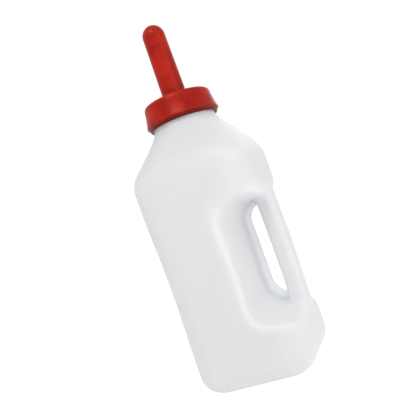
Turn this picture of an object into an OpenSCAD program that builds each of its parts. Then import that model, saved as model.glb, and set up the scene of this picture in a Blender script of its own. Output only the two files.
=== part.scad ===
// Calf feeding bottle: a blown bottle with a hollow handle, and a rubber nipple that stretches over its neck.
// The origin is the centre of the base, where the neck's axis meets the surface it stands on.
// +Z is up the neck, and the handle is on the +X side. Millimetres.

/* [Body] */
// Width of the body, from its front to the handle side
body_w = 106; // [96:1:130]
// Depth of the body, across the two recessed sides
body_d = 112; // [96:1:136]
// Radius of the upright corners
corner_r = 25; // [18:1:32]
// Radius between the sides and the base
base_r = 18; // [12:1:24]
// Height at which the shoulder starts to lean in
shoulder_z = 196; // [186:1:240]
// Height of the shoulder, from there to the foot of the neck
shoulder_h = 37; // [25:1:50]
// Half the height over which the side curves into the shoulder
shoulder_soft = 9.5; // [4:0.5:12]
// How much rounder the corners are half way up the shoulder
shoulder_round = 5; // [0:0.5:8]
// Thickness of the blown wall
wall = 1.5; // [1:0.1:2]
// Width of the flat rim that the bottle stands on
stand_w = 5; // [3:0.5:10]
// Depth of the push-up
push_h = 2.5; // [1:0.5:5]

/* [Neck] */
// Outside diameter of the neck
neck_d = 58; // [50:1:64]
// Height of the neck
neck_h = 20.6; // [17:0.2:30]
// How far the bead stands out of the neck
bead_out = 1.7; // [0.8:0.1:2.2]
// Height of the bead that holds the rubber
bead_h = 5; // [3:0.5:6]
// Drop from the rim to the top of the bead
bead_drop = 2; // [1:0.5:4]

/* [Handle] */
// Thickness of the handle, in the direction of the finger gap
grip_w = 15; // [12:0.5:20]
// Thickness of the handle across the bottle
grip_t = 24; // [18:1:30]
// Corner radius of the handle
grip_r = 7; // [4:0.5:8]
// How far the handle stands out behind the body
grip_proud = 1.5; // [0:0.5:4]
// Width of the finger gap
gap_w = 11.5; // [8:0.5:20]
// Height of the bottom of the finger gap
gap_z = 59.5; // [55:0.5:75]
// Height of the finger gap
gap_h = 86.5; // [70:0.5:92]
// Corner radius at the bottom of the finger gap
gap_low_r = 20; // [12:1:24]
// Corner radius at the top of the finger gap
gap_high_r = 15; // [8:1:20]
// Thickness of the web round the finger gap, where the mould pinches both walls together
web_t = 3; // [2:0.1:4]
// Width of the web in front of the gap
web_w = 5.5; // [3:0.5:8]
// Width of the web below the gap
web_low = 4.5; // [2:0.5:7]
// Width of the web above the gap
web_high = 2; // [1:0.5:5]
// How much further forward the hand recess starts at the side of the body than at the web
recess_w = 9.5; // [4:0.5:14]
// How much higher the hand recess reaches at the side of the body
recess_up = 6; // [3:0.5:10]
// How much lower the hand recess reaches at the side of the body
recess_down = 6; // [3:0.5:10]
// Fall of the recess's floor towards the handle at the side of the body, per millimetre
recess_fall = 0.25; // [0:0.05:0.5]

/* [Nipple] */
// How far the cap's lip stands out round the neck
lip_out = 5; // [4:0.5:10]
// Height of the lip's underside above the foot of the neck
lip_lift = 2.6; // [1.6:0.2:4]
// Height from the lip's underside to its widest line
lip_h = 3.2; // [2:0.2:5]
// How much the cap narrows between the lip and its top edge
cap_lean = 3.1; // [0:0.1:4]
// Thickness of the cap's flat top
cap_t = 4.5; // [3.5:0.5:8]
// Radius of the cap's top edge
cap_edge_r = 2.6; // [1:0.2:4]
// Length of the teat above the cap
teat_l = 69.8; // [55:0.2:90]
// Radius of the teat where it meets the cap
teat_base_r = 11.1; // [9:0.1:14]
// Radius of the teat's round end
teat_tip_r = 10.3; // [8:0.1:13]
// Thickness of the teat's wall
teat_wall = 3.2; // [2:0.1:4]
// Thickness of rubber at the teat's tip
tip_t = 6; // [4:0.5:9]
// Radius of the milk hole
milk_r = 0.8; // [0.5:0.1:1.5]
// Clearance between the rubber and the neck
fit_gap = 0.3; // [0.1:0.05:0.5]

/* [Vent] */
// Room between the vent's boss and the inside of the neck
vent_room = 4; // [2.5:0.25:6]
// Radius of the vent's ball
ball_r = 2.4; // [2:0.1:3]
// Clearance round the ball in its chamber
ball_gap = 0.25; // [0.15:0.05:0.4]
// Travel of the ball from its rest to the air hole
ball_travel = 2; // [1:0.25:3]
// Thickness of rubber round the ball's chamber
vent_wall = 1.9; // [1.4:0.1:2.4]
// Radius of the hole in the lip that the ball rests on
keep_r = 1.6; // [1.2:0.1:1.8]
// Thickness of that lip
keep_t = 2; // [1.2:0.2:3]
// Radius of the air hole in the cap's top
air_r = 0.8; // [0.5:0.1:1.2]

/* [Hidden] */
$fn = 96;
eps = 0.01;
corner_n = 8;
fillet_n = 6;
soft_n = 6;
neck_r = neck_d / 2;
neck_z = shoulder_z + shoulder_h;
push_r = min(body_w, body_d) / 2 - base_r - stand_w;
rim_z = neck_z + neck_h;
bead_z = rim_z - bead_drop - bead_h;
neck_root = 4;
neck_in = 0.2;
bore_in = 0.4;
bore_r = neck_r - wall - bore_in;
bead_r = neck_r + bead_out;
bead_root = 1;
bead_edge = 0.5;
gap_x = body_w / 2 + grip_proud - grip_w - gap_w;
grip_x = gap_x + gap_w;
gap_top = gap_z + gap_h;
web_x = gap_x - web_w;
web_root = 1;
side_y = body_d / 2;
outside = 0.1;
over = 1;
least_r = 1;
far_x = body_w / 2 + 30;
low_r_loss = 8;
high_r_gain = 7;
grip_end = 14;
grip_low = gap_z - grip_end;
grip_high = gap_top + grip_end;
lip_r = neck_r + lip_out;
lip_z = neck_z + lip_lift;
lip_under_r = lip_r - 2;
lip_back_r = lip_r - 0.6;
lip_back_h = lip_h + 6;
cap_in_z = rim_z + fit_gap;
cap_z = cap_in_z + cap_t;
cap_r = lip_r - cap_lean;
skirt_in_r = neck_r + fit_gap;
groove_r = bead_r + fit_gap;
tip_z = cap_z + teat_l;
tip_centre_z = tip_z - teat_tip_r;
tip_in_r = teat_tip_r - teat_wall;
tip_in_z = tip_z - tip_t;
chamber_r = ball_r + ball_gap;
boss_r = chamber_r + vent_wall;
vent_x = bore_r - vent_room - boss_r;
seat_lift = sqrt(ball_r * ball_r - keep_r * keep_r);
stop_drop = sqrt(ball_r * ball_r - air_r * air_r);
ball_clear = 0.05;
chamber_lift = 0.5;
chamber_top = cap_in_z + chamber_lift;
chamber_h = ball_clear + seat_lift + ball_travel + stop_drop;
chamber_z = chamber_top - chamber_h;
keep_z = chamber_z - keep_t;
ball_z = chamber_z + ball_clear + seat_lift;

function mix(a, b, t) = a + (b - a) * t;

// One level of the body: a rounded rectangle of half sizes a and b and corner radius c, at height z.
function level(a, b, c, z) = [
    for (q = [0:3])
        for (i = [0:corner_n])
            let (t = 90 * (q + i / corner_n))
                [(q == 0 || q == 3 ? a - c : c - a) + c * cos(t), (q < 2 ? b - c : c - b) + c * sin(t), z]
];

// A level drawn in by d from the sides, as the base's fillet does.
function low_level(d, z) = level(body_w / 2 - d, body_d / 2 - d, max(corner_r - d, least_r), z);

// A level of the shoulder, drawn in by t, where s goes from 0 at the side to 1 at the round neck.
function high_level(s, t, z) =
    let (
        a = mix(body_w / 2, neck_r, s),
        b = mix(body_d / 2, neck_r, s),
        c = mix(corner_r, neck_r, s) + 4 * shoulder_round * s * (1 - s)
    )
        level(a - t, b - t, min(a, b, c) - t, z);

// How far the shoulder has leaned in at u above its start: a parabola, then a straight line.
function lean(u) = (u < shoulder_soft ? pow(u + shoulder_soft, 2) / (4 * shoulder_soft) : u) / shoulder_h;

// One level of the hand recess at the distance y from the middle of the bottle, in upright X-Z planes.
// It is open at the handle side, and its two front corners are round.
function recess_level(y, front, low, high, low_r, high_r, fall) = concat(
    [[far_x, y, low - fall * (far_x - front)]],
    [for (i = [0:corner_n]) let (t = 90 * (1 - i / corner_n))
        [front + low_r * (1 - cos(t)), y, low - fall * low_r * (1 - cos(t)) + low_r * (1 - sin(t))]],
    [for (i = [0:corner_n]) let (t = 90 * i / corner_n)
        [front + high_r * (1 - cos(t)), y, high - high_r * (1 - sin(t))]],
    [[far_x, y, high]]
);

// A closed skin over levels that all have the same number of points.
module skin(levels) {
    n = len(levels[0]);
    last = len(levels) - 1;
    polyhedron(
        points = [for (l = levels) for (p = l) p],
        faces = concat(
            [[for (i = [0:n - 1]) i]],
            [for (k = [0:last - 1]) for (i = [0:n - 1]) [k * n + i, (k + 1) * n + i, k * n + (i + 1) % n]],
            [for (k = [0:last - 1]) for (i = [0:n - 1])
                [(k + 1) * n + i, (k + 1) * n + (i + 1) % n, k * n + (i + 1) % n]],
            [[for (i = [n - 1:-1:0]) last * n + i]]
        )
    );
}

// The body and shoulder, drawn in by t all over.
module body_form(t) {
    skin(concat(
        [for (i = [0:fillet_n]) let (a = 90 * i / fillet_n)
            low_level(t + (base_r - t) * (1 - sin(a)), t + (base_r - t) * (1 - cos(a)))],
        [for (i = [0:soft_n]) let (u = mix(-shoulder_soft, shoulder_soft, i / soft_n))
            high_level(lean(u), t, shoulder_z + u)],
        [for (i = [1:soft_n]) let (u = mix(shoulder_soft, shoulder_h, i / soft_n))
            high_level(lean(u), t, shoulder_z + u)]
    ));
}

// What the hand recess and the finger gap take away on both sides, grown by t all over.
module recess_form(t) {
    skin([
        for (share = [-1 - outside, 0, 1 + outside])
            recess_level(
                share * side_y,
                web_x - recess_w * abs(share) - t,
                gap_z - web_low - recess_down * abs(share) - t,
                gap_top + web_high + recess_up * abs(share) + t,
                gap_low_r - low_r_loss * abs(share),
                gap_high_r + high_r_gain * abs(share),
                recess_fall * abs(share)
            )
    ]);
}

// The finger gap in side view for t = 0, and what the web takes up round it for t = 1.
module gap_outline(t) {
    corners = recess_level(
        0,
        gap_x - t * (web_w + web_root),
        gap_z - t * (web_low + web_root),
        gap_top + t * (web_high + web_root),
        gap_low_r,
        gap_high_r,
        0
    );
    polygon([for (p = corners) [p[0], p[2]]]);
}

// The web round the finger gap, which reaches a little way into the walls that it joins.
module web() {
    translate([0, web_t / 2, 0])
        rotate([90, 0, 0])
            linear_extrude(web_t)
                intersection() {
                    difference() {
                        gap_outline(1);
                        gap_outline(0);
                    }
                    square([grip_x + web_root, grip_high]);
                }
}

// The handle, drawn in by t all over.
module grip_form(t) {
    translate([grip_x + t, -grip_t / 2 + t, grip_low + t])
        linear_extrude(grip_high - grip_low - 2 * t)
            round_box(grip_w - 2 * t, grip_t - 2 * t, grip_r - t);
}

// A rectangle with round corners, its low corner at the origin.
module round_box(w, h, r) {
    for (x = [r, w - r])
        for (y = [r, h - r])
            translate([x, y]) circle(r);
    translate([r, 0]) square([w - 2 * r, h]);
    translate([0, r]) square([w, h - 2 * r]);
}

// The outside of the bottle below its neck for t = 0, and its inside for t = wall.
module blown_form(t) {
    difference() {
        body_form(t);
        recess_form(t);
        // the push-up that lets the bottle stand on a rim
        translate([0, 0, -eps]) cylinder(push_h + t + eps, push_r + t, push_r - 2 * push_h + t);
    }
    grip_form(t);
}

module bottle() {
    color([0.90, 0.91, 0.92]) {
        difference() {
            union() {
                blown_form(0);
                translate([0, 0, neck_z - neck_root])
                    cylinder(neck_h + neck_root, neck_r - neck_in, neck_r - neck_in);
                // the bead that the rubber stretches over, with a lead-in above and a hook below
                rotate_extrude()
                    polygon([
                        [neck_r - bead_root, bead_z],
                        [bead_r - bead_edge, bead_z],
                        [bead_r, bead_z + bead_edge],
                        [bead_r, bead_z + bead_h / 2],
                        [neck_r - neck_in, bead_z + bead_h],
                        [neck_r - bead_root, bead_z + bead_h]
                    ]);
            }
            blown_form(wall);
            translate([0, 0, neck_z - neck_root]) cylinder(neck_h + neck_root + over, bore_r, bore_r);
        }
        web();
    }
}

// Half the outline of the cap and teat, solid.
module nipple_outline() {
    union() {
        // the flaring skirt and its lip
        polygon([
            [0, lip_z],
            [lip_under_r, lip_z],
            [lip_r, lip_z + lip_h],
            [lip_back_r, lip_z + lip_back_h],
            [cap_r, cap_z - cap_edge_r],
            [0, cap_z - cap_edge_r]
        ]);
        // the cap's rounded top edge
        translate([cap_r - cap_edge_r, cap_z - cap_edge_r]) intersection() {
            circle(cap_edge_r);
            square(cap_edge_r);
        }
        translate([0, cap_z - cap_edge_r - eps]) square([cap_r - cap_edge_r, cap_edge_r + eps]);
        // the teat, with its round end
        polygon([
            [0, cap_z - over],
            [teat_base_r, cap_z - over],
            [teat_base_r, cap_z],
            [teat_tip_r, tip_centre_z],
            [0, tip_centre_z]
        ]);
        translate([0, tip_centre_z]) intersection() {
            circle(teat_tip_r);
            square(teat_tip_r);
        }
    }
}

// Half the outline of the hollow inside the cap and teat.
module nipple_hollow() {
    // round the neck, with the groove that takes the bead
    translate([0, lip_z - over]) square([skirt_in_r, cap_in_z - lip_z + over]);
    polygon([
        [0, bead_z - fit_gap],
        [groove_r - bead_edge, bead_z - fit_gap],
        [groove_r, bead_z + bead_edge - fit_gap],
        [groove_r, bead_z + bead_h / 2 + fit_gap],
        [skirt_in_r, bead_z + bead_h + fit_gap],
        [0, bead_z + bead_h + fit_gap]
    ]);
    // inside the teat
    polygon([
        [0, cap_in_z - over],
        [teat_base_r - teat_wall, cap_in_z - over],
        [teat_base_r - teat_wall, cap_z],
        [tip_in_r, tip_in_z - tip_in_r],
        [0, tip_in_z - tip_in_r]
    ]);
    translate([0, tip_in_z - tip_in_r]) intersection() {
        circle(tip_in_r);
        square(tip_in_r);
    }
    // the milk hole
    translate([0, tip_in_z - over]) square([milk_r, tip_t + 2 * over]);
}

module nipple() {
    color([0.72, 0.16, 0.12])
        difference() {
            union() {
                rotate_extrude() difference() {
                    nipple_outline();
                    nipple_hollow();
                }
                // the boss inside the cap that holds the vent's ball
                translate([-vent_x, 0, keep_z])
                    cylinder(cap_in_z - keep_z + over, boss_r, boss_r);
            }
            translate([-vent_x, 0, chamber_z]) cylinder(chamber_h, chamber_r, chamber_r);
            translate([-vent_x, 0, keep_z - over]) cylinder(keep_t + 2 * over, keep_r, keep_r);
            translate([-vent_x, 0, chamber_top - over]) cylinder(cap_z - chamber_top + 2 * over, air_r, air_r);
        }
}

module vent_ball() {
    color("silver")
        translate([-vent_x, 0, ball_z]) sphere(ball_r);
}

bottle();
nipple();
vent_ball();
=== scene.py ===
"""Calf feeding bottle: a blown natural polyethylene bottle with a hollow handle, and a red rubber nipple that
pushes over its neck. Lengths are worked out in millimetres and go into the meshes in metres."""

import math

import bpy
import numpy as np
from mathutils import Matrix, Vector


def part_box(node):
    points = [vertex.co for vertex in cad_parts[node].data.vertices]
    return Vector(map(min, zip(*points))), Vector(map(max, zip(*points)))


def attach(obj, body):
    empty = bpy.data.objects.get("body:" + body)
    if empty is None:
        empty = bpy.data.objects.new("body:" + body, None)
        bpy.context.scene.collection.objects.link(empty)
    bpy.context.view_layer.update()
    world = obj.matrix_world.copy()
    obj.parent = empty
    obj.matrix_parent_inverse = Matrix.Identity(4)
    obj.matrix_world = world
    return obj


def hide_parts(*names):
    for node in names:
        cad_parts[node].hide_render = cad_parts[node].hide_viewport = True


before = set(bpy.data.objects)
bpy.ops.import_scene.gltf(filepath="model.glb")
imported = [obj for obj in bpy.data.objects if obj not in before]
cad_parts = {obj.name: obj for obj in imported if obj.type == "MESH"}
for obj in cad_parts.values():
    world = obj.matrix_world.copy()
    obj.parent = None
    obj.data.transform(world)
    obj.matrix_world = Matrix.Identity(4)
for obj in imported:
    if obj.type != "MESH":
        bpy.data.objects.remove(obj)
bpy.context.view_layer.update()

# ---------------------------------------------------------------------------------------------------------
# The studio: a camera a little above half the bottle's height and turned toward its handle side, held
# tilted so that the bottle leans left, a white floor and soft lights. Its sizes are in metres.
# ---------------------------------------------------------------------------------------------------------

CAMERA_AZIMUTH = math.radians(18.7)
CAMERA_PITCH = math.radians(-0.89)
CAMERA_TILT = math.radians(19.64)
CAMERA_DISTANCE = 0.5025
CAMERA_HEIGHT = 0.1395
CAMERA_LENS = 47.87
CAMERA_SHIFT = (-0.0365, 0.0555)
FLOOR_HALF = 12.0
FLOOR_DROP = 0.0003  # keeps the floor clear of the base that stands on it
LIGHT_AIM = (0, 0, 0.16)
WHITE = (1, 1, 1, 1)
CARD_GREY = (0.75, 0.75, 0.75, 1)
COOL_WHITE = (0.97, 0.985, 1.0, 1)


def make_camera():
    """The camera's axes: level ones turned to the azimuth, then pitched about the right axis, then turned
    about the view by the tilt."""
    side, ahead = math.sin(CAMERA_AZIMUTH), math.cos(CAMERA_AZIMUTH)
    level_forward = Vector((-side, ahead, 0))
    level_right = Vector((ahead, side, 0))
    level_up = Vector((0, 0, 1))
    forward = level_forward * math.cos(CAMERA_PITCH) + level_up * math.sin(CAMERA_PITCH)
    pitched_up = level_up * math.cos(CAMERA_PITCH) - level_forward * math.sin(CAMERA_PITCH)
    right = level_right * math.cos(CAMERA_TILT) - pitched_up * math.sin(CAMERA_TILT)
    up = level_right * math.sin(CAMERA_TILT) + pitched_up * math.cos(CAMERA_TILT)
    data = bpy.data.cameras.new("camera")
    data.sensor_width = 36.0
    data.lens = CAMERA_LENS
    data.shift_x, data.shift_y = CAMERA_SHIFT
    camera = bpy.data.objects.new("camera", data)
    bpy.context.collection.objects.link(camera)
    placed = Matrix((right, up, -forward)).transposed().to_4x4()
    placed.translation = Vector((CAMERA_DISTANCE * side, -CAMERA_DISTANCE * ahead, CAMERA_HEIGHT))
    camera.matrix_world = placed
    bpy.context.scene.camera = camera


def set_inputs(node, values):
    """Gives each of the node's inputs that values names, or numbers, its value."""
    for key, value in values.items():
        node.inputs[key].default_value = value


def add_node(nodes, kind, inputs=None, **settings):
    """A new shader node of that kind, with its settings made first and then the values on its inputs."""
    node = nodes.new("ShaderNode" + kind)
    for name, value in settings.items():
        setattr(node, name, value)
    set_inputs(node, inputs or {})
    return node


def new_material(name, inputs):
    """A new material, its nodes and its links, with the given values on its shader's own inputs."""
    material = bpy.data.materials.new(name)
    material.use_nodes = True
    nodes, links = material.node_tree.nodes, material.node_tree.links
    set_inputs(nodes["Principled BSDF"], inputs)
    return material, nodes, links


def white_card():
    """Matt white card with a little light of its own, and more of it as it is seen, so that it runs into
    the background: the light's strength is 0.3, plus 0.4 for a ray from the eye."""
    finish = {"Base Color": CARD_GREY, "Roughness": 0.9, "Specular IOR Level": 0.1, "Emission Color": WHITE}
    card, nodes, links = new_material("white_card", finish)
    ray = add_node(nodes, "LightPath")
    glow = add_node(nodes, "Math", {1: 0.4, 2: 0.3}, operation="MULTIPLY_ADD")
    links.new(ray.outputs["Is Camera Ray"], glow.inputs[0])
    links.new(glow.outputs["Value"], nodes["Principled BSDF"].inputs["Emission Strength"])
    return card


def make_floor():
    """A wide level square under the bottle."""
    half = FLOOR_HALF
    corners = [(-half, -half, 0), (half, -half, 0), (half, half, 0), (-half, half, 0)]
    mesh = bpy.data.meshes.new("floor")
    mesh.from_pydata(corners, [], [(0, 1, 2, 3)])
    mesh.transform(Matrix.Translation((0, 0, -FLOOR_DROP)))
    mesh.materials.append(white_card())
    floor = bpy.data.objects.new("floor", mesh)
    bpy.context.collection.objects.link(floor)


def soft_light(name, place, size, power):
    """A square soft box at place, turned to the middle of the bottle."""
    lamp = bpy.data.lights.new(name, "AREA")
    lamp.shape = "SQUARE"
    lamp.size = size
    lamp.energy = power
    box = bpy.data.objects.new(name, lamp)
    bpy.context.collection.objects.link(box)
    aim = Vector(LIGHT_AIM) - Vector(place)
    turn = aim.to_track_quat("-Z", "Y").to_matrix().to_4x4()
    turn.translation = Vector(place)
    box.matrix_world = turn


def make_world():
    """White where it is seen, and dimmer as a light, so that the soft boxes give the form its shading."""
    world = bpy.data.worlds.new("studio")
    bpy.context.scene.world = world
    world.use_nodes = True
    nodes, links = world.node_tree.nodes, world.node_tree.links
    lit = nodes["Background"]
    set_inputs(lit, {"Color": COOL_WHITE, "Strength": 0.68})
    seen = add_node(nodes, "Background", {"Color": WHITE, "Strength": 1.05})
    ray = add_node(nodes, "LightPath")
    either = add_node(nodes, "MixShader")
    links.new(ray.outputs["Is Camera Ray"], either.inputs["Fac"])
    links.new(lit.outputs["Background"], either.inputs[1])
    links.new(seen.outputs["Background"], either.inputs[2])
    links.new(either.outputs["Shader"], nodes["World Output"].inputs["Surface"])
    bpy.context.scene.view_settings.view_transform = "Standard"


make_camera()
make_floor()
make_world()
soft_light("key", (1.1, -0.55, 0.25), size=0.9, power=4.1)
soft_light("front", (0.05, -0.8, 1.15), size=0.5, power=5.0)
soft_light("back", (-0.1, 1.0, 0.8), size=1.0, power=2.8)

# ---------------------------------------------------------------------------------------------------------
# The bottle: one skin of natural, milky polyethylene, blown into a two-part mould. Body, shoulder, neck and
# hollow handle are one shell, so its form is worked out as one smooth field: the body's rounded box less
# the hand recess, plus the handle, each run into the next with a soft fillet as a blown skin is.
# ---------------------------------------------------------------------------------------------------------

bottle_low, bottle_high = (np.array(corner) * 1000 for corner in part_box("bottle"))
HALF_W = -bottle_low[0]
HALF_D = bottle_high[1]
RIM_Z = bottle_high[2]
WALL = 1.5
CORNER_R = 25.0
BASE_R = 18.0
PUSH_R = 30.0  # the push-up under the base, a shallow dome
PUSH_H = 2.5
PUSH_SOFT = 2.0
WAIST = 1.0  # how much the sides draw in half way up the waist, which starts at WAIST_Z
WAIST_Z = 20.0
WAIST_H = 160.0
NECK_R = 29.0
NECK_H = 20.6
NECK_Z = RIM_Z - NECK_H
NECK_BORE = NECK_R - 1.9
NECK_CUT = NECK_Z + 2.0  # the field gives the skin up to here, and the outline gives the neck above
BEAD_DROP = 7.0  # from the rim down to the bead's lower edge
BEAD_PROUD = 1.7
SHOULDER_H = 37.0
SHOULDER_SOFT = 9.5  # reach of the bends from side to shoulder and from shoulder to neck
NECK_SOFT = 2.5
SHOULDER_ROUND = 5.0  # what the corner radius gains half way up the shoulder
GRIP_W = 15.0
GRIP_T = 24.0
GRIP_R = 5.5
GRIP_BOW = 1.5
GRIP_END = 14.0  # how far the bar goes on past the finger gap
GRIP_END_R = 5.0
GRIP_SOFT = 7.0
GRIP_X = bottle_high[0] - GRIP_W
GAP_W = 11.5  # the finger gap between the web and the handle
GAP_X = GRIP_X - GAP_W
GAP_Z = 59.5
GAP_H = 86.5
GAP_LOW_R = 20.0
GAP_HIGH_R = 15.0
WEB_T = 3.0
WEB_W = 5.5  # the web's width in front of the gap, below it and above it
WEB_LOW = 4.5
WEB_HIGH = 2.0
WEB_RIM = 1.0  # how far the web's rounded edge stands into the gap
WEB_RIM_R = 1.5
WEB_FILLET = 5.0
RECESS_W = 7.5  # how much the recess opens from the web to the bottle's side: in front, upwards, downwards
RECESS_UP = 7.5
RECESS_DOWN = 5.5
RECESS_LOW_R = (21.0, 13.0)  # the corner radii at the web and at the side
RECESS_HIGH_R = (16.0, 22.0)
FALL = 0.1  # the recess floor's slope, and from FALL_X on its further bend
FALL_X = 30.0
FALL_BEND = 0.018
EDGE_SOFT = (9.0, 16.0)  # reach of the recess edge's bend, below EDGE_Z and above EDGE_Z + EDGE_H
EDGE_Z = 100.0
EDGE_H = 45.0
GRID = 1.75  # the grid that the skin's points are found on, and its room round the skin
NET_ROOM = 3.1
MOULD_LINE_HALF = 0.6
MILKY_WHITE = (0.81, 0.817, 0.83, 1)


def box_gap(u, v, r):
    """Distance to an edge between two faces with a fillet of radius r; u and v are the distances to them."""
    pu, pv = np.maximum(u + r, 0), np.maximum(v + r, 0)
    return np.minimum(np.maximum(u + r, v + r), 0) + np.sqrt(pu * pu + pv * pv) - r


def soft_max(u, v, k):
    """The greater of u and v, with a cubic blend of reach k where they are close."""
    h = np.maximum(k - np.abs(u - v), 0) / k
    return np.maximum(u, v) + h * h * h * k / 6


def soft_min(u, v, k):
    """The lesser of u and v, with a cubic blend of reach k where they are close."""
    return -soft_max(-u, -v, k)


def between(ends, share):
    """The value that lies share of the way from the first end to the second."""
    return ends[0] + (ends[1] - ends[0]) * share


def lean(z):
    """How far the shoulder has leaned in at z, from 0 at the side to 1 at the neck: a straight ramp whose
    two ends are rounded by parabolas."""
    u = z - (NECK_Z - SHOULDER_H)
    low = np.clip(u + SHOULDER_SOFT, 0, 2 * SHOULDER_SOFT)
    ramp = low * low / (4 * SHOULDER_SOFT) + np.maximum(u - SHOULDER_SOFT, 0)
    past = u - SHOULDER_H
    high = np.clip(past + NECK_SOFT, 0, 2 * NECK_SOFT)
    return (ramp - high * high / (4 * NECK_SOFT) - np.maximum(past - NECK_SOFT, 0)) / SHOULDER_H


def body_field(x, y, z):
    """A rounded box whose half sizes and corner radius run to a circle up the shoulder, with a fillet at
    the base and a slight waist."""
    s = lean(z)
    waist = WAIST * np.sin(np.pi * np.clip((z - WAIST_Z) / WAIST_H, 0, 1)) ** 2
    a = between((HALF_W, NECK_R), s) - waist
    b = between((HALF_D, NECK_R), s) - waist
    corner = np.minimum(between((CORNER_R, NECK_R), s) + 4 * SHOULDER_ROUND * s * (1 - s), np.minimum(a, b))
    side = box_gap(np.abs(x) - a, np.abs(y) - b, corner)
    return box_gap(side, -z, BASE_R)


def slot_field(x, z, front, low, high, low_r, high_r):
    """A slot in side view that is open towards the handle, with two round front corners."""
    return np.maximum(box_gap(front - x, low - z, low_r), box_gap(front - x, z - high, high_r))


def recess_field(x, y, z):
    """The hand recess: a slot that opens evenly towards each side, with a floor that falls towards the
    handle. Between its two halves the mould pinches the walls into a thin web round the finger gap."""
    share = np.abs(y) / HALF_D
    front = GAP_X - WEB_W - RECESS_W * share
    fall = FALL * (x - front) + FALL_BEND * np.maximum(x - FALL_X, 0) ** 2
    low = GAP_Z - WEB_LOW - RECESS_DOWN * share - share * fall
    high = GAP_Z + GAP_H + WEB_HIGH + RECESS_UP * share
    return slot_field(x, z, front, low, high, between(RECESS_LOW_R, share), between(RECESS_HIGH_R, share))


def cut_field(x, y, z):
    """The hand recess less the web, whose foot is filleted and whose edge round the gap is rounded."""
    gap = slot_field(x, z, GAP_X, GAP_Z, GAP_Z + GAP_H, GAP_LOW_R, GAP_HIGH_R)
    opened = soft_min(WEB_T / 2 - np.abs(y), gap + WEB_RIM, WEB_RIM_R)
    return soft_max(recess_field(x, y, z), opened, WEB_FILLET)


def grip_field(x, y, z):
    """The handle: a round-cornered bar whose outer face bows out by a parabola and whose inner face
    follows it by half as much, run into the body at both ends."""
    middle = GAP_Z + GAP_H / 2
    reach = GAP_H / 2 + GRIP_END
    bow = GRIP_BOW * (1 - ((z - middle) / reach) ** 2)
    thick = GRIP_W / 2 + bow / 4
    across = box_gap(np.abs(x - GRIP_X - GRIP_W / 2 - 3 * bow / 4) - thick, np.abs(y) - GRIP_T / 2, GRIP_R)
    return box_gap(across, np.abs(z - middle) - reach, GRIP_END_R)


def skin_field(x, y, z, cut=cut_field):
    """The outside of the bottle: negative inside, zero on the skin. It is the body less the cut, joined to
    the handle, less the ball that presses the push-up into the base."""
    edge = between(EDGE_SOFT, np.clip((z - EDGE_Z) / EDGE_H, 0, 1))
    body = soft_max(body_field(x, y, z), -cut(x, y, z), edge)
    whole = soft_min(body, grip_field(x, y, z), GRIP_SOFT)
    lens = (PUSH_R**2 + PUSH_H**2) / (2 * PUSH_H)
    push = np.sqrt(x * x + y * y + (z + lens - PUSH_H) ** 2) - lens
    return soft_max(whole, -push, PUSH_SOFT)


def hollow_field(x, y, z):
    """The inside of the wall, which runs straight behind the web."""
    return skin_field(x, y, z, recess_field) + WALL


def field_slope(field, p):
    """The field's slope at the points p, from differences over a tenth of a millimetre."""
    e = 0.05
    slope = np.empty_like(p)
    for axis in range(3):
        d = np.zeros(3)
        d[axis] = e
        slope[:, axis] = (field(*(p + d).T) - field(*(p - d).T)) / (2 * e)
    return slope


def settle(field, p, rounds):
    """Moves the points p onto the field's zero skin along its slope."""
    for _ in range(rounds):
        slope = field_slope(field, p)
        p = p - slope * (field(*p.T) / np.maximum((slope * slope).sum(1), 1e-6))[:, None]
    return p


def net(field, low, high):
    """Points and quads of the field's zero skin: one point in each grid cell that the skin crosses, at the
    mean of its crossings of the cell's edges, and one quad for each grid edge that it crosses."""
    axes = [np.arange(low[i], high[i] + GRID, GRID) for i in range(3)]
    value = field(*np.meshgrid(*axes, indexing="ij"))
    cells = tuple(n - 1 for n in value.shape)
    total = np.zeros(cells + (3,))
    count = np.zeros(cells)
    quads = []
    numbers = np.arange(np.prod(cells)).reshape(cells)
    for axis in range(3):
        first = [slice(None)] * 3
        second = [slice(None)] * 3
        first[axis] = slice(None, -1)
        second[axis] = slice(1, None)
        a, b = value[tuple(first)], value[tuple(second)]
        crossed = (a < 0) != (b < 0)
        index = np.argwhere(crossed)
        place = index.astype(float)
        place[:, axis] += a[crossed] / (a[crossed] - b[crossed])
        u, v = (axis + 1) % 3, (axis + 2) % 3
        inner = (index[:, u] > 0) & (index[:, v] > 0) & (index[:, u] < cells[u]) & (index[:, v] < cells[v])
        index, place, rising = index[inner], place[inner], (a[crossed] < 0)[inner]
        ring = []
        for du, dv in ((-1, -1), (0, -1), (0, 0), (-1, 0)):
            cell = index.copy()
            cell[:, u] += du
            cell[:, v] += dv
            where = tuple(cell.T)
            np.add.at(total, where, place)
            np.add.at(count, where, 1)
            ring.append(numbers[where])
        ring = np.stack(ring, 1)
        ring[~rising] = ring[~rising][:, ::-1]
        quads.append(ring)
    points = total.reshape(-1, 3) / np.maximum(count.reshape(-1), 1)[:, None]
    points, quads = only_used(points, np.concatenate(quads))
    return points * GRID + np.array([a[0] for a in axes]), quads


def only_used(points, quads):
    """The points that the quads use, and the quads with those points' new numbers."""
    used, renumbered = np.unique(quads, return_inverse=True)
    return points[used], renumbered.reshape(quads.shape)


def relax(points, quads, rounds, held):
    """Evens out the skin's points by moving each halfway to the mean of its neighbours and back onto the
    skin. The points in held only settle."""
    a = quads.ravel()
    b = np.roll(quads, -1, axis=1).ravel()
    count = np.bincount(a, minlength=len(points)) + np.bincount(b, minlength=len(points))
    for _ in range(rounds):
        total = np.zeros_like(points)
        np.add.at(total, a, points[b])
        np.add.at(total, b, points[a])
        moved = points + 0.5 * (total / count[:, None] - points)
        moved[held] = points[held]
        points = settle(skin_field, moved, 1)
    return points


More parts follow.
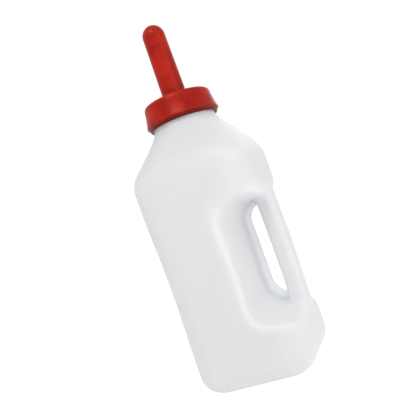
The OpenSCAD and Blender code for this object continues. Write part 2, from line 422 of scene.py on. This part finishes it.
def trim_level(points, quads, height):
    """The quads that lie under height, with the points of the cut edge drawn level at it and onto the
    neck's circle. The edge's point numbers and their angles come in turn round the circle."""
    points, quads = only_used(points, quads[(points[:, 2] < height)[quads].all(1)])
    sides = np.sort(np.stack([quads, np.roll(quads, -1, axis=1)], 2).reshape(-1, 2), axis=1)
    pairs, times = np.unique(sides, axis=0, return_counts=True)
    edge = np.unique(pairs[times == 1])
    turn = np.arctan2(points[edge, 1], points[edge, 0])
    edge, turn = edge[np.argsort(turn)], np.sort(turn)
    points[edge] = np.stack([NECK_R * np.cos(turn), NECK_R * np.sin(turn), np.full(len(edge), height)], 1)
    return points, quads, edge, turn


def rounded(corners, turns=6, longest=2.0):
    """Points along an outline given as (r, z, corner radius): each corner becomes a parabola between the
    tangent points, and the stretches between them are cut to at most the longest length."""
    points = [np.array(corners[0][:2])]
    for before, here, after in zip(corners, corners[1:], corners[2:]):
        at = np.array(here[:2])
        back, on = np.array(before[:2]) - at, np.array(after[:2]) - at
        reach = min(here[2], np.linalg.norm(back) / 2, np.linalg.norm(on) / 2)
        start, end = at + back / np.linalg.norm(back) * reach, at + on / np.linalg.norm(on) * reach
        points.append(start)
        for t in np.linspace(0, 1, turns + 1)[1:]:
            points.append((1 - t) ** 2 * start + 2 * t * (1 - t) * at + t * t * end)
    points.append(np.array(corners[-1][:2]))
    spaced = [points[0]]
    for here in points[1:]:
        last = spaced[-1]
        gap = np.linalg.norm(here - last)
        if gap < 1e-6:
            continue
        cuts = math.ceil(gap / longest)
        spaced.extend(last + (here - last) * (i / cuts) for i in range(1, cuts + 1))
    return np.array(spaced)


def neck_outline():
    """The neck's half outline from its foot, up the outside over the bead and the rim, and down the
    bore: straight stretches with their corners rounded."""
    bead_z = RIM_Z - BEAD_DROP
    bead_r = NECK_R + BEAD_PROUD
    rim_r = NECK_R - 0.2
    corners = [
        (NECK_R, NECK_Z + 3.5, 0.0),
        (NECK_R, bead_z - 0.4, 0.5),
        (bead_r, bead_z, 0.6),
        (bead_r, bead_z + 2.4, 1.0),
        (rim_r, bead_z + 5.0, 1.0),
        (rim_r, RIM_Z, 0.7),
        (NECK_BORE, RIM_Z, 0.7),
        (NECK_BORE, NECK_Z + 8.0, 2.0),
        (NECK_R - WALL, NECK_Z + 3.5, 0.0),
    ]
    return rounded(corners)


def rings(outline, turn, x=0.0):
    """The outline's (r, z) points carried round an upright axis at x, as x + r cos(turn), r sin(turn), z:
    one ring for each point, with one place for each angle in turn."""
    r, z = outline[:, :1], outline[:, 1:]
    return np.stack([x + r * np.cos(turn), r * np.sin(turn), z + 0 * turn], 2).reshape(-1, 3)


def bands(rows):
    """Quads between each row of point numbers and the next, closed round."""
    here, there = rows[:-1], rows[1:]
    return np.stack([here, np.roll(here, -1, 1), np.roll(there, -1, 1), there], 2).reshape(-1, 4)


def new_mesh_object(name, points, faces):
    """A smooth-shaded object at the origin, from points in millimetres and faces of point numbers."""
    mesh = bpy.data.meshes.new(name)
    mesh.from_pydata((points * 0.001).tolist(), [], faces)
    mesh.validate()
    mesh.polygons.foreach_set("use_smooth", np.ones(len(mesh.polygons), bool))
    mesh.update()
    piece = bpy.data.objects.new(name, mesh)
    bpy.context.collection.objects.link(piece)
    return piece


def make_bottle():
    """The outer skin from the field, cut level at the neck's foot; the inner skin one wall inside it; and
    the neck carried round on the points of the cut edge."""
    top = np.array([bottle_high[0], bottle_high[1], NECK_CUT])
    points, quads = net(skin_field, bottle_low - NET_ROOM, top + NET_ROOM)
    points, quads, edge, turn = trim_level(settle(skin_field, points, 3), quads, NECK_CUT)
    points = settle(skin_field, relax(points, quads, 6, edge), 2)
    slope = field_slope(skin_field, points)
    outwards = slope / np.linalg.norm(slope, axis=1)[:, None]
    inner = settle(hollow_field, points - WALL * outwards, 4)
    inner[edge] = points[edge] - WALL * np.stack([np.cos(turn), np.sin(turn), 0 * turn], 1)
    n = len(points)
    neck = rings(neck_outline(), turn)
    neck_rows = np.arange(len(neck)).reshape(-1, len(edge)) + 2 * n
    rows = np.concatenate([edge[None], neck_rows, edge[None] + n])
    faces = np.concatenate([quads, quads[:, ::-1] + n, bands(rows)])
    return new_mesh_object("bottle_skin", np.concatenate([points, inner, neck]), faces.tolist())


def milky_plastic():
    """Natural polyethylene: milky, lets light run through it, satin from the mould, with a fine orange-peel
    and the line at y = 0 where the two halves of the mould meet."""
    finish = {
        "Base Color": MILKY_WHITE,
        "Roughness": 0.42,
        "IOR": 1.5,
        "Specular IOR Level": 0.2,
        "Subsurface Weight": 1.0,
        "Subsurface Radius": (1.0, 1.0, 1.0),
        "Subsurface Scale": 0.004,
    }
    material, nodes, links = new_material("natural_polyethylene", finish)
    place = add_node(nodes, "TexCoord")
    peel = add_node(nodes, "TexNoise", {"Scale": 900.0, "Detail": 3.0})
    links.new(place.outputs["Object"], peel.inputs["Vector"])
    skin = add_node(nodes, "Bump", {"Strength": 0.08, "Distance": 0.0004})
    links.new(peel.outputs["Fac"], skin.inputs["Height"])
    parts = add_node(nodes, "SeparateXYZ")
    links.new(place.outputs["Object"], parts.inputs["Vector"])
    aside = add_node(nodes, "Math", operation="ABSOLUTE")
    links.new(parts.outputs["Y"], aside.inputs[0])
    fade = {"From Min": 0.0, "From Max": MOULD_LINE_HALF * 0.001, "To Min": 1.0, "To Max": 0.0}
    ridge = add_node(nodes, "MapRange", fade, interpolation_type="SMOOTHSTEP")
    links.new(aside.outputs["Value"], ridge.inputs["Value"])
    line = add_node(nodes, "Bump", {"Strength": 0.6, "Distance": 0.0002})
    links.new(ridge.outputs["Result"], line.inputs["Height"])
    links.new(skin.outputs["Normal"], line.inputs["Normal"])
    links.new(line.outputs["Normal"], nodes["Principled BSDF"].inputs["Normal"])
    return material


bottle = make_bottle()
bottle.data.materials.append(milky_plastic())
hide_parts("bottle")
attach(bottle, "bottle")

# ---------------------------------------------------------------------------------------------------------
# The nipple: one moulding of red natural rubber. The cap's skirt stretches over the neck's bead and its
# thick lip hooks under it; the teat stands in the middle of the cap. A boss under the cap, moulded with it,
# holds the vent's ball.
# ---------------------------------------------------------------------------------------------------------

nipple_low, nipple_high = (np.array(corner) * 1000 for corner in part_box("nipple"))
LIP_R = nipple_high[0]
LIP_Z = nipple_low[2]
TIP_Z = nipple_high[2]
CAP_IN_Z = RIM_Z + 0.3
CAP_Z = CAP_IN_Z + 4.5
CAP_R = LIP_R - 3.1
SKIRT_IN_R = NECK_R + 0.3
GROOVE_R = NECK_R + 2.0  # the groove inside the skirt that holds the neck's bead
TEAT_BASE_R = 11.1
TEAT_TIP_R = 10.3
TEAT_WALL = 3.2
TIP_T = 6.0
MILK_R = 0.8
NIPPLE_COLUMNS = 144
ball_low, ball_high = (np.array(corner) * 1000 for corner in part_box("vent_ball"))
BALL_R = (ball_high[2] - ball_low[2]) / 2
BALL_Z = (ball_high[2] + ball_low[2]) / 2
VENT_X = (ball_high[0] + ball_low[0]) / 2
VENT_COLUMNS = 48
CHAMBER_R = BALL_R + 0.25
CHAMBER_ROOF = 0.5  # how far the chamber goes up into the cap's top
BOSS_R = CHAMBER_R + 1.9
KEEP_R = 1.6  # the keeping lip under the ball
KEEP_T = 2.0
KEEP_GAP = 0.05
AIR_R = 0.8
RUBBER_DARK = (0.26, 0.005, 0.001, 1)
RUBBER_LIGHT = (0.46, 0.014, 0.003, 1)
# painted shade: a darker rubber colour for the band under the lip, standing in for the shade there
RUBBER_LIP_PAINTED_SHADE = (0.15, 0.004, 0.002, 1)
LIP_PAINTED_SHADE_HEIGHTS = (2.4, 3.8)  # the painted shade under the lip fades out between these heights above the lip's foot


def arc(centre, radius, start, end, count):
    """Points on an arc about centre, from start to end in degrees."""
    t = np.radians(np.linspace(start, end, count))
    return np.stack([centre[0] + radius * np.cos(t), centre[1] + radius * np.sin(t)], 1)


def nipple_outline():
    """The nipple's half outline, closed: from the milk hole out over the tip, down the teat, over the cap
    and the lip, and back up the inside. The tip is an arc outside and inside, and the rest is straight
    stretches with their corners rounded."""
    outside = [
        (TEAT_BASE_R, CAP_Z + 0.25, 0.9),
        (CAP_R - 0.2, CAP_Z, 3.6),
        (CAP_R + 0.7, CAP_Z - 8.0, 3.0),
        (LIP_R - 1.2, LIP_Z + 8.0, 3.0),
        (LIP_R, LIP_Z + 3.8, 0.7),
        (LIP_R - 1.9, LIP_Z + 2.0, 0.6),
        (LIP_R - 2.6, LIP_Z, 0.8),
        (NECK_R + 0.9, LIP_Z + 0.2, 0.7),
    ]
    inside = [
        (SKIRT_IN_R, LIP_Z + 1.5, 0.8),
        (SKIRT_IN_R, RIM_Z - 7.9, 0.6),
        (GROOVE_R, RIM_Z - 7.3, 0.5),
        (GROOVE_R, RIM_Z - 4.3, 0.8),
        (SKIRT_IN_R, RIM_Z - 1.7, 0.8),
        (SKIRT_IN_R, CAP_IN_Z, 0.7),
        (TEAT_BASE_R - TEAT_WALL, CAP_IN_Z, 1.0),
    ]
    tip_in_r = TEAT_TIP_R - TEAT_WALL
    hole = math.degrees(math.asin(MILK_R / TEAT_TIP_R))
    hole_in = math.degrees(math.asin(MILK_R / tip_in_r))
    over = arc((0.0, TIP_Z - TEAT_TIP_R), TEAT_TIP_R, 90 - hole, 0, 24)
    back = arc((0.0, TIP_Z - TIP_T - tip_in_r), tip_in_r, 0, 90 - hole_in, 12)
    start, end = (tuple(over[-1]) + (0.0,), tuple(back[0]) + (0.0,))
    between_tips = rounded([start] + outside + inside + [end], longest=1.5)
    return np.concatenate([over[:-1], between_tips, back[1:]])


def turned(name, outline, columns):
    """A closed outline carried round the Z axis. The outline runs down the outside, so its rings are joined
    in backward order to face outwards."""
    turn = np.linspace(0, 2 * np.pi, columns, endpoint=False)
    rows = np.arange(len(outline) * columns).reshape(-1, columns)
    closed = np.concatenate([rows, rows[:1]])
    return new_mesh_object(name, rings(outline, turn), bands(closed[::-1]).tolist())


def spindle(name, x, outline):
    """A solid turned round an upright axis at x, from an outline that runs upwards, with its first and
    last rings filled."""
    turn = np.linspace(0, 2 * np.pi, VENT_COLUMNS, endpoint=False)
    rows = np.arange(len(outline) * VENT_COLUMNS).reshape(-1, VENT_COLUMNS)
    ends = [rows[0, ::-1].tolist(), rows[-1].tolist()]
    return new_mesh_object(name, rings(np.array(outline), turn, x), ends + bands(rows).tolist())


def carve(piece, tool, operation):
    """Joins the tool to the piece or cuts it out of the piece, and throws the tool away."""
    change = piece.modifiers.new("carve", "BOOLEAN")
    change.operation = operation
    change.object = tool
    graph = bpy.context.evaluated_depsgraph_get()
    done = bpy.data.meshes.new_from_object(piece.evaluated_get(graph))
    piece.modifiers.clear()
    piece.data = done
    bpy.data.objects.remove(tool)


def make_nipple():
    """The turned nipple with the vent's boss under the cap, cored for the ball, its keeping lip below and
    the air hole above. The keeping lip's edge lies KEEP_GAP under the ball: at radius KEEP_R the ball's
    underside is the root of BALL_R squared less KEEP_R squared below its centre."""
    piece = turned("rubber_nipple", nipple_outline(), NIPPLE_COLUMNS)
    floor = BALL_Z - math.sqrt(BALL_R**2 - KEEP_R**2) - KEEP_GAP
    roof = CAP_IN_Z + CHAMBER_ROOF
    under = floor - KEEP_T
    boss = [
        (BOSS_R - 0.6, under),
        (BOSS_R - 0.17, under + 0.17),
        (BOSS_R, under + 0.6),
        (BOSS_R, CAP_IN_Z + 1),
    ]
    carve(piece, spindle("boss", VENT_X, boss), "UNION")
    core = [
        (KEEP_R, under - 1),
        (KEEP_R, floor),
        (CHAMBER_R, floor),
        (CHAMBER_R, roof),
        (AIR_R, roof),
        (AIR_R, CAP_Z + 1),
    ]
    carve(piece, spindle("core", VENT_X, core), "DIFFERENCE")
    piece.data.polygons.foreach_set("use_smooth", np.ones(len(piece.data.polygons), bool))
    piece.data.set_sharp_from_angle(angle=math.radians(40))
    return piece


def red_rubber():
    """Red natural rubber: satin, mottled in tone and in shine where it flowed in the mould and was handled,
    with painted shade in a darker band under the lip, and a slow unevenness under a fine grain."""
    material, nodes, links = new_material("red_natural_rubber", {"IOR": 1.5, "Specular IOR Level": 0.16})
    shader = nodes["Principled BSDF"]
    place = add_node(nodes, "TexCoord")
    flow = add_node(nodes, "TexNoise", {"Scale": 55.0, "Detail": 3.0, "Distortion": 0.2})
    links.new(place.outputs["Object"], flow.inputs["Vector"])
    tone = add_node(nodes, "ValToRGB")
    for stop, position, color in zip(tone.color_ramp.elements, (0.3, 0.7), (RUBBER_DARK, RUBBER_LIGHT)):
        stop.position = position
        stop.color = color
    links.new(flow.outputs["Fac"], tone.inputs["Fac"])
    parts = add_node(nodes, "SeparateXYZ")
    links.new(place.outputs["Object"], parts.inputs["Vector"])
    # painted shade: below these heights the colour turns to the darker lip shade, standing in for the shade
    # under the lip
    heights = {"From Min": (LIP_Z + LIP_PAINTED_SHADE_HEIGHTS[0]) * 0.001, "From Max": (LIP_Z + LIP_PAINTED_SHADE_HEIGHTS[1]) * 0.001}
    lip = add_node(nodes, "MapRange", heights, interpolation_type="SMOOTHSTEP")
    links.new(parts.outputs["Z"], lip.inputs["Value"])
    whole = add_node(nodes, "Mix", {"A": RUBBER_LIP_PAINTED_SHADE}, data_type="RGBA")
    links.new(lip.outputs["Result"], whole.inputs["Factor"])
    links.new(tone.outputs["Color"], whole.inputs["B"])
    links.new(whole.outputs["Result"], shader.inputs["Base Color"])
    shine = add_node(nodes, "MapRange", {"From Min": 0.3, "From Max": 0.7, "To Min": 0.24, "To Max": 0.36})
    links.new(flow.outputs["Fac"], shine.inputs["Value"])
    links.new(shine.outputs["Result"], shader.inputs["Roughness"])
    grain = add_node(nodes, "TexNoise", {"Scale": 1500.0})
    links.new(place.outputs["Object"], grain.inputs["Vector"])
    fine = add_node(nodes, "Bump", {"Strength": 0.12, "Distance": 0.0003})
    links.new(grain.outputs["Fac"], fine.inputs["Height"])
    slow = add_node(nodes, "Bump", {"Strength": 0.12, "Distance": 0.0015})
    links.new(flow.outputs["Fac"], slow.inputs["Height"])
    links.new(fine.outputs["Normal"], slow.inputs["Normal"])
    links.new(slow.outputs["Normal"], shader.inputs["Normal"])
    return material


nipple = make_nipple()
nipple.data.materials.append(red_rubber())
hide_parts("nipple")
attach(nipple, "nipple")

# ---------------------------------------------------------------------------------------------------------
# The vent's ball: a small ball of ground stainless steel. Nothing fixes it: it lies loose in the chamber
# under the cap, on the keeping lip, and lifts off it when the calf draws air in.
# ---------------------------------------------------------------------------------------------------------

BALL_STEP = 7.5
STEEL_GREY = (0.62, 0.61, 0.59, 1)


def make_ball():
    """Rings from one pole to the other, BALL_STEP degrees apart, with the first and last ones filled: at
    the angle t the radius is BALL_R cos t and the height is BALL_Z + BALL_R sin t."""
    t = np.radians(np.arange(BALL_STEP - 90, 90, BALL_STEP))
    outline = np.stack([BALL_R * np.cos(t), BALL_Z + BALL_R * np.sin(t)], 1)
    return spindle("steel_ball", VENT_X, outline)


def ground_steel():
    """Ground stainless steel: bright, with fine grinding marks that dull it here and there."""
    material, nodes, links = new_material("ground_steel", {"Base Color": STEEL_GREY, "Metallic": 1.0})
    place = add_node(nodes, "TexCoord")
    marks = add_node(nodes, "TexNoise", {"Scale": 2500.0, "Detail": 4.0})
    links.new(place.outputs["Object"], marks.inputs["Vector"])
    dull = add_node(nodes, "MapRange", {"To Min": 0.14, "To Max": 0.3})
    links.new(marks.outputs["Fac"], dull.inputs["Value"])
    links.new(dull.outputs["Result"], nodes["Principled BSDF"].inputs["Roughness"])
    return material


ball = make_ball()
ball.data.materials.append(ground_steel())
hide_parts("vent_ball")
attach(ball, "vent_ball")
